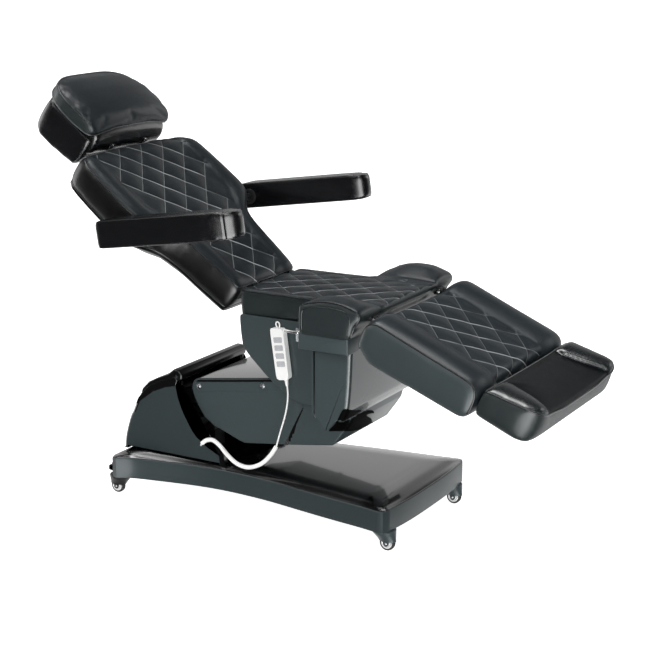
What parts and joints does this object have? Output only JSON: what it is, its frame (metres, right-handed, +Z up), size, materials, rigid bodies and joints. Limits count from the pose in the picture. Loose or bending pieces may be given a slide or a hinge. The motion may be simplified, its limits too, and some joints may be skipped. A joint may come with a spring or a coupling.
{
  "type": "facial treatment bed",
  "caption": "Reclining salon treatment couch with quilted padding, sliding headrest and foot rest, folding armrests and a hooded lift on a wheeled plinth.",
  "frame": {"origin": "on the floor under the middle of the bed, halfway along its overall length at rest", "axes": "+X towards the feet, +Y to the occupant's left, +Z up"},
  "size_m": [1.7992, 0.882, 1.3388],
  "materials": {
    "frame_steel": "satin black paint",
    "plinth_shell": "gloss dark slate lacquer",
    "gloss_black": "high gloss black",
    "body_plastic": "semi-gloss dark slate",
    "gloss_dark": "gloss dark slate",
    "bright_steel": "ground and plated",
    "bolt_steel": "plated",
    "control_case": "moulded grey",
    "black_plastic": "moulded black",
    "wheel_tread": "black tread on white hub",
    "leather_seat": "soft satin upholstery",
    "leather_gloss": "smooth polished upholstery",
    "remote_white": "moulded white",
    "remote_key": "soft grey keys",
    "cord_white": "flexible white sheath"
  },
  "bodies": {
    "base": {"base_frame": "frame_steel", "base_cover": "plinth_shell", "rear_hood": "gloss_black", "base_pins": "bright_steel", "control_box": "control_case", "power_inlet": "black_plastic", "lift_motor": "black_plastic"},
    "lift_rod": {"lift_rod": "bright_steel"},
    "lift_arm": {"lift_arm": "frame_steel", "arm_cover": "body_plastic", "arm_front_cap": "gloss_dark", "cover_bolts": "bolt_steel"},
    "parallel_link": {"parallel_link": "frame_steel"},
    "chassis": {"chassis_frame": "frame_steel", "chassis_pins": "bright_steel"},
    "tilt_motor": {"tilt_motor": "black_plastic"},
    "tilt_rod": {"tilt_rod": "bright_steel"},
    "seat": {"seat_frame": "frame_steel", "seat_pins": "bright_steel", "seat_pan": "black_plastic", "seat_cushion": "leather_seat", "side_panel_l": "body_plastic", "side_panel_r": "body_plastic", "front_shroud": "body_plastic", "remote_hook": "bright_steel", "remote_body": "remote_white", "remote_cord": "cord_white", "back_motor": "black_plastic", "leg_motor": "black_plastic"},
    "back_rod": {"back_rod": "bright_steel"},
    "leg_rod": {"leg_rod": "bright_steel"},
    "backrest": {"back_frame": "frame_steel", "back_cushion": "leather_seat", "back_shell": "gloss_black"},
    "head_slider": {"head_slider": "bright_steel"},
    "headrest": {"head_hinge": "frame_steel", "head_block": "leather_gloss", "head_pillow": "leather_seat"},
    "armrest_l": {"armrest_bracket_l": "frame_steel", "armrest_pad_l": "leather_gloss"},
    "armrest_r": {"armrest_bracket_r": "frame_steel", "armrest_pad_r": "leather_gloss"},
    "legrest": {"leg_frame": "frame_steel", "leg_cushion": "leather_seat"},
    "footrest": {"foot_frame": "bright_steel", "foot_cushion": "leather_seat"},
    "fork_fl": {"caster_fork_fl": "black_plastic"},
    "wheel_fl": {"caster_wheel_fl": "wheel_tread"},
    "fork_fr": {"caster_fork_fr": "black_plastic"},
    "wheel_fr": {"caster_wheel_fr": "wheel_tread"},
    "fork_rl": {"caster_fork_rl": "black_plastic"},
    "wheel_rl": {"caster_wheel_rl": "wheel_tread"},
    "fork_rr": {"caster_fork_rr": "black_plastic"},
    "wheel_rr": {"caster_wheel_rr": "wheel_tread"},
    "rocker_lift": {"rocker_lift": "remote_key"},
    "rocker_back": {"rocker_back": "remote_key"},
    "rocker_leg": {"rocker_leg": "remote_key"},
    "rocker_tilt": {"rocker_tilt": "remote_key"}
  },
  "joints": [
    {"name": "lift", "type": "hinge", "parent": "base", "child": "lift_arm", "pos_m": [-0.48641, 0, 0.318], "axis": [0, -1, 0], "range_deg": [-10.5, 10], "deforming": ["remote_cord"]},
    {"name": "chassis_level", "type": "hinge", "parent": "lift_arm", "child": "chassis", "pos_m": [0.08359, 0, 0.4], "axis": [0, -1, 0], "range_deg": [-10, 10.5]},
    {"name": "link_pivot", "type": "hinge", "parent": "base", "child": "parallel_link", "pos_m": [-0.46641, 0, 0.248], "axis": [0, -1, 0], "range_deg": [-10.5, 10]},
    {"name": "lift_rod_slide", "type": "slide", "parent": "base", "child": "lift_rod", "axis": [-1, 0, 0], "range_m": [-0.0375, 0.0395]},
    {"name": "seat_tilt", "type": "hinge", "parent": "chassis", "child": "seat", "pos_m": [-0.04641, 0, 0.6], "axis": [0, -1, 0], "range_deg": [0, 12]},
    {"name": "tilt_motor_pivot", "type": "hinge", "parent": "chassis", "child": "tilt_motor", "pos_m": [0.04359, 0, 0.49], "axis": [0, -1, 0], "range_deg": [0, 12]},
    {"name": "tilt_rod_slide", "type": "slide", "parent": "tilt_motor", "child": "tilt_rod", "axis": [0.7911, 0, 0.6117], "range_m": [0, 0.031]},
    {"name": "backrest", "type": "hinge", "parent": "seat", "child": "backrest", "pos_m": [-0.15741, 0, 0.712], "axis": [0, 1, 0], "range_deg": [-37.4, 37.6]},
    {"name": "back_rod_slide", "type": "slide", "parent": "seat", "child": "back_rod", "axis": [-0.9971, 0, 0.0767], "range_m": [-0.045, 0.045]},
    {"name": "headrest_slide", "type": "slide", "parent": "backrest", "child": "head_slider", "axis": [-0.7944, 0, 0.6074], "range_m": [0, 0.08]},
    {"name": "headrest_tilt", "type": "hinge", "parent": "head_slider", "child": "headrest", "pos_m": [-0.70102, 0, 1.11945], "axis": [0, 1, 0], "range_deg": [-20, 30]},
    {"name": "armrest_swing_l", "type": "hinge", "parent": "backrest", "child": "armrest_l", "pos_m": [-0.45141, 0.345, 0.912], "axis": [0, -1, 0], "range_deg": [-10, 80]},
    {"name": "armrest_swing_r", "type": "hinge", "parent": "backrest", "child": "armrest_r", "pos_m": [-0.45141, -0.345, 0.912], "axis": [0, -1, 0], "range_deg": [-10, 80]},
    {"name": "legrest", "type": "hinge", "parent": "seat", "child": "legrest", "pos_m": [0.33959, 0, 0.703], "axis": [0, -1, 0], "range_deg": [-31.5, 23.5]},
    {"name": "leg_rod_slide", "type": "slide", "parent": "seat", "child": "leg_rod", "axis": [0.9858, 0, 0.1677], "range_m": [-0.0355, 0.027]},
    {"name": "footrest_slide", "type": "slide", "parent": "legrest", "child": "footrest", "axis": [0.9171, 0, -0.3987], "range_m": [0, 0.15]},
    {"name": "swivel_fl", "type": "hinge", "parent": "base", "child": "fork_fl", "pos_m": [0.37259, 0.229, 0.09], "axis": [0, 0, 1], "continuous": true},
    {"name": "roll_fl", "type": "hinge", "parent": "fork_fl", "child": "wheel_fl", "pos_m": [0.39459, 0.229, 0.024], "axis": [0, 1, 0], "continuous": true},
    {"name": "swivel_fr", "type": "hinge", "parent": "base", "child": "fork_fr", "pos_m": [0.37259, -0.229, 0.09], "axis": [0, 0, 1], "continuous": true},
    {"name": "roll_fr", "type": "hinge", "parent": "fork_fr", "child": "wheel_fr", "pos_m": [0.39459, -0.229, 0.024], "axis": [0, 1, 0], "continuous": true},
    {"name": "swivel_rl", "type": "hinge", "parent": "base", "child": "fork_rl", "pos_m": [-0.58541, 0.229, 0.09], "axis": [0, 0, 1], "continuous": true},
    {"name": "roll_rl", "type": "hinge", "parent": "fork_rl", "child": "wheel_rl", "pos_m": [-0.60741, 0.229, 0.024], "axis": [0, 1, 0], "continuous": true},
    {"name": "swivel_rr", "type": "hinge", "parent": "base", "child": "fork_rr", "pos_m": [-0.58541, -0.229, 0.09], "axis": [0, 0, 1], "continuous": true},
    {"name": "roll_rr", "type": "hinge", "parent": "fork_rr", "child": "wheel_rr", "pos_m": [-0.60741, -0.229, 0.024], "axis": [0, 1, 0], "continuous": true},
    {"name": "rocker_lift_press", "type": "hinge", "parent": "seat", "child": "rocker_lift", "pos_m": [0.0173, -0.2145, 0.5754], "axis": [0.9903, 0, 0.1392], "range_deg": [-5, 5], "stiffness_Nm_per_rad": 0.02},
    {"name": "rocker_back_press", "type": "hinge", "parent": "seat", "child": "rocker_back", "pos_m": [0.02092, -0.2145, 0.54965], "axis": [0.9903, 0, 0.1392], "range_deg": [-5, 5], "stiffness_Nm_per_rad": 0.02},
    {"name": "rocker_leg_press", "type": "hinge", "parent": "seat", "child": "rocker_leg", "pos_m": [0.02454, -0.2145, 0.5239], "axis": [0.9903, 0, 0.1392], "range_deg": [-5, 5], "stiffness_Nm_per_rad": 0.02},
    {"name": "rocker_tilt_press", "type": "hinge", "parent": "seat", "child": "rocker_tilt", "pos_m": [0.02815, -0.2145, 0.49816], "axis": [0.9903, 0, 0.1392], "range_deg": [-5, 5], "stiffness_Nm_per_rad": 0.02}
  ],
  "couplings": [
    {"joint": "chassis_level", "follows": "lift", "ratio": -1},
    {"joint": "link_pivot", "follows": "lift", "ratio": 1},
    {"joint": "lift_rod_slide", "follows": "lift", "m_per_rad": -0.2121},
    {"joint": "tilt_motor_pivot", "follows": "seat_tilt", "ratio": 0.96076},
    {"joint": "tilt_rod_slide", "follows": "seat_tilt", "m_per_rad": 0.14167},
    {"joint": "back_rod_slide", "follows": "backrest", "m_per_rad": 0.06733},
    {"joint": "leg_rod_slide", "follows": "legrest", "m_per_rad": 0.06244}
  ]
}
